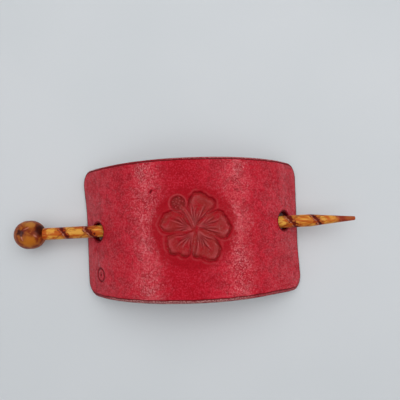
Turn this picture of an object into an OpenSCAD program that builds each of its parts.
// Hair slide: a bowed leather panel held on the hair by a stick with a ball end.
// Frame: +X along the leather towards the stick's point, +Y across the leather, +Z up.
// Origin: under the middle of the leather, on the surface that the slide rests on.

/* [Leather] */
// Length of the leather, along its bowed surface
leather_l = 119; // [112:1:124]
// Width of the leather at its two ends
leather_w = 58; // [50:1:64]
// How far each long edge bows outward at mid length
edge_bow = 0.6; // [0.2:0.1:2]
// Thickness of the leather
leather_t = 2.8; // [2.2:0.1:3]
// Radius of the four corners
corner_r = 7; // [4:0.5:9]
// Slope of the straight flap at each end, in degrees
flap_angle = 51; // [50:0.5:55]
// Height of the flat that is worn under each end
foot_cut = 0.4; // [0.2:0.1:0.6]

/* [Holes] */
// Diameter of the two punched holes
hole_d = 9.6; // [9.6:0.1:11]
// Distance from the leather's end to the hole nearest the ball
ball_hole_inset = 11.3; // [11:0.1:14]
// Distance from the leather's end to the hole nearest the point
tip_hole_inset = 13.3; // [12:0.1:15]
// Offset of the ball side's hole across the leather
ball_hole_y = 0.65; // [-1:0.05:2]
// Offset of the point side's hole across the leather
tip_hole_y = 2.55; // [1:0.05:3]
// Bevel that the stick has pressed into both rims of a hole
rim_bevel = 0.4; // [0.4:0.1:0.6]

/* [Stick] */
// Distance from the ball's centre to the end of the point
stick_l = 147.9; // [140:0.1:165]
// Diameter of the straight part of the shaft
shaft_d = 5.5; // [5:0.1:5.6]
// Length of the tapered point
taper_l = 20; // [12:1:30]
// Diameter of the blunt end of the point
tip_d = 1.8; // [1.2:0.1:3]
// Distance from the middle of the leather to the ball's centre
ball_reach = 74.2; // [60:1:80]
// Offset of the shaft from the centre of the ball side's hole
ball_hole_slack = 0.35; // [-0.5:0.05:0.5]
// Offset of the shaft from the centre of the point side's hole
tip_hole_slack = -0.5; // [-0.5:0.05:0.5]

/* [Ball] */
// Diameter of the ball
ball_d = 13; // [11:0.1:15]
// Length of the straight band round the middle of the ball
ball_band = 1.1; // [0.2:0.1:2]
// Diameter of the spigot glued into the ball
spigot_d = 3.2; // [2.5:0.1:4]
// Length of the spigot inside the ball
spigot_l = 7; // [5:0.5:8]

/* [Hidden] */
$fn = 96;
big = 200;
arc_steps = 48;

// Bow of the leather: an arc between the holes, then a straight flap down to each end
flap_l = (ball_hole_inset + tip_hole_inset) / 2;
arc_half = leather_l / 2 - flap_l;
bow_r = arc_half / (flap_angle * PI / 180);

// Directions down along a flap and out through its thickness, as [x, z]
down = [cos(flap_angle), -sin(flap_angle)];
out = [sin(flap_angle), cos(flap_angle)];

// Where the arc turns into the flap, and the flap's far end, from the centre of the bow
turn = bow_r * out;
flap_end = turn + flap_l * down;
end_x = flap_end[0];
bow_z = leather_t / 2 * out[1] - flap_end[1] - foot_cut;

// Lean of the leather from level, and its mid surface as [x, z], at a distance u along it
function lean_at(u) = sign(u) * min(abs(u) / bow_r * 180 / PI, flap_angle);
function arc_at(u) = bow_r * [sin(lean_at(u)), cos(lean_at(u))];
function flap_at(u) = turn + (u - arc_half) * down;
function leather_at(u) = [0, bow_z] + (
    abs(u) < arc_half ? arc_at(u) : [sign(u) * flap_at(abs(u))[0], flap_at(abs(u))[1]]
);

// Where each hole is along the leather, and its middle as [x, z]
ball_hole_u = -(leather_l / 2 - ball_hole_inset);
tip_hole_u = leather_l / 2 - tip_hole_inset;
ball_hole = leather_at(ball_hole_u);
tip_hole = leather_at(tip_hole_u);

// Line of the stick through the two holes
run_x = tip_hole[0] - ball_hole[0];
run_y = (tip_hole_y + tip_hole_slack) - (ball_hole_y + ball_hole_slack);
run_z = tip_hole[1] - ball_hole[1];
stick_yaw = atan2(run_y, run_x);
stick_pitch = atan2(run_z, norm([run_x, run_y]));
back = ball_reach + ball_hole[0];
ball_y = ball_hole_y + ball_hole_slack - back * run_y / run_x;
ball_z = ball_hole[1] - back * run_z / run_x;

// Distance from the ball's centre to where the shaft meets it
ball_r = ball_d / 2;
seat_x = ball_band / 2 + sqrt(ball_r * ball_r - shaft_d * shaft_d / 4);

// Side view of the bowed leather, in XZ, from points along its outer and its inner surface
function skin_points(depth) = [
    for (u = [-leather_l / 2, each [-arc_half : 2 * arc_half / arc_steps : arc_half], leather_l / 2])
        leather_at(u) + depth * [sin(lean_at(u)), cos(lean_at(u))]
];
module bow_profile() {
    difference() {
        polygon(concat(skin_points(leather_t / 2), [for (p = skin_points(-leather_t / 2)) [-p[0], p[1]]]));
        translate([-big / 2, -big])
            square(big);
    }
}

// Plan of the leather: two long edges, each a wide shallow arc
module bowed_plan() {
    edge_r = (end_x * end_x + edge_bow * edge_bow) / (2 * edge_bow);
    half_w = leather_w / 2 + edge_bow;
    intersection() {
        translate([0, half_w - edge_r, -1])
            cylinder(r = edge_r, h = big, $fn = 720);
        translate([0, edge_r - half_w, -1])
            cylinder(r = edge_r, h = big, $fn = 720);
    }
}

// Waste outside one rounded corner, cut square to the flap
module corner_waste() {
    shy = corner_r * cos(flap_angle) / end_x;
    edge_y = leather_w / 2 + edge_bow * (1 - (1 - shy) * (1 - shy));
    translate([turn[0], 0, turn[1] + bow_z])
        rotate([0, flap_angle, 0])
            translate([flap_l - corner_r, edge_y - corner_r, -2 * leather_t])
                difference() {
                    cube([2 * corner_r, 2 * corner_r, 4 * leather_t]);
                    cylinder(r = corner_r, h = 4 * leather_t);
                }
}

// One punched hole with a pressed bevel on both rims, along the leather's normal
module punched_hole(u, y) {
    spot = leather_at(u);
    translate([spot[0], y, spot[1]])
        rotate([0, lean_at(u), 0]) {
            cylinder(d = hole_d, h = 4 * leather_t, center = true);
            for (side = [0, 1])
                mirror([0, 0, side])
                    translate([0, 0, leather_t / 2 - rim_bevel])
                        cylinder(d1 = hole_d, d2 = hole_d + 4 * rim_bevel, h = 2 * rim_bevel);
        }
}

module leather_panel() {
    color("#ae1f33")
        difference() {
            intersection() {
                translate([0, big / 2, 0])
                    rotate([90, 0, 0])
                        linear_extrude(big)
                            bow_profile();
                bowed_plan();
            }
            for (side = [0, 1], edge = [0, 1])
                mirror([side, 0, 0])
                    mirror([0, edge, 0])
                        corner_waste();
            punched_hole(ball_hole_u, ball_hole_y);
            punched_hole(tip_hole_u, tip_hole_y);
        }
}

// Lays a shape drawn up +Z from the ball's centre along the line of the stick
module on_stick_line() {
    translate([-ball_reach, ball_y, ball_z])
        rotate([0, 90 - stick_pitch, stick_yaw])
            children();
}

module stick_shaft() {
    color("#c8762c")
        on_stick_line()
            rotate_extrude()
                polygon([
                    [0, seat_x - spigot_l],
                    [spigot_d / 2, seat_x - spigot_l],
                    [spigot_d / 2, seat_x],
                    [shaft_d / 2, seat_x],
                    [shaft_d / 2, stick_l - taper_l],
                    [tip_d / 2, stick_l - tip_d / 4],
                    [tip_d / 4, stick_l],
                    [0, stick_l]
                ]);
}

module ball_knob() {
    color("#a9541c")
        on_stick_line()
            rotate_extrude()
                difference() {
                    intersection() {
                        union() {
                            for (end = [-1, 1])
                                translate([0, end * ball_band / 2])
                                    circle(d = ball_d);
                            translate([-ball_r, -ball_band / 2])
                                square([ball_d, ball_band]);
                        }
                        translate([0, -ball_d])
                            square([ball_d, ball_d + seat_x]);
                    }
                    translate([0, seat_x - spigot_l])
                        square([spigot_d / 2, ball_d]);
                }
}

leather_panel();
stick_shaft();
ball_knob();
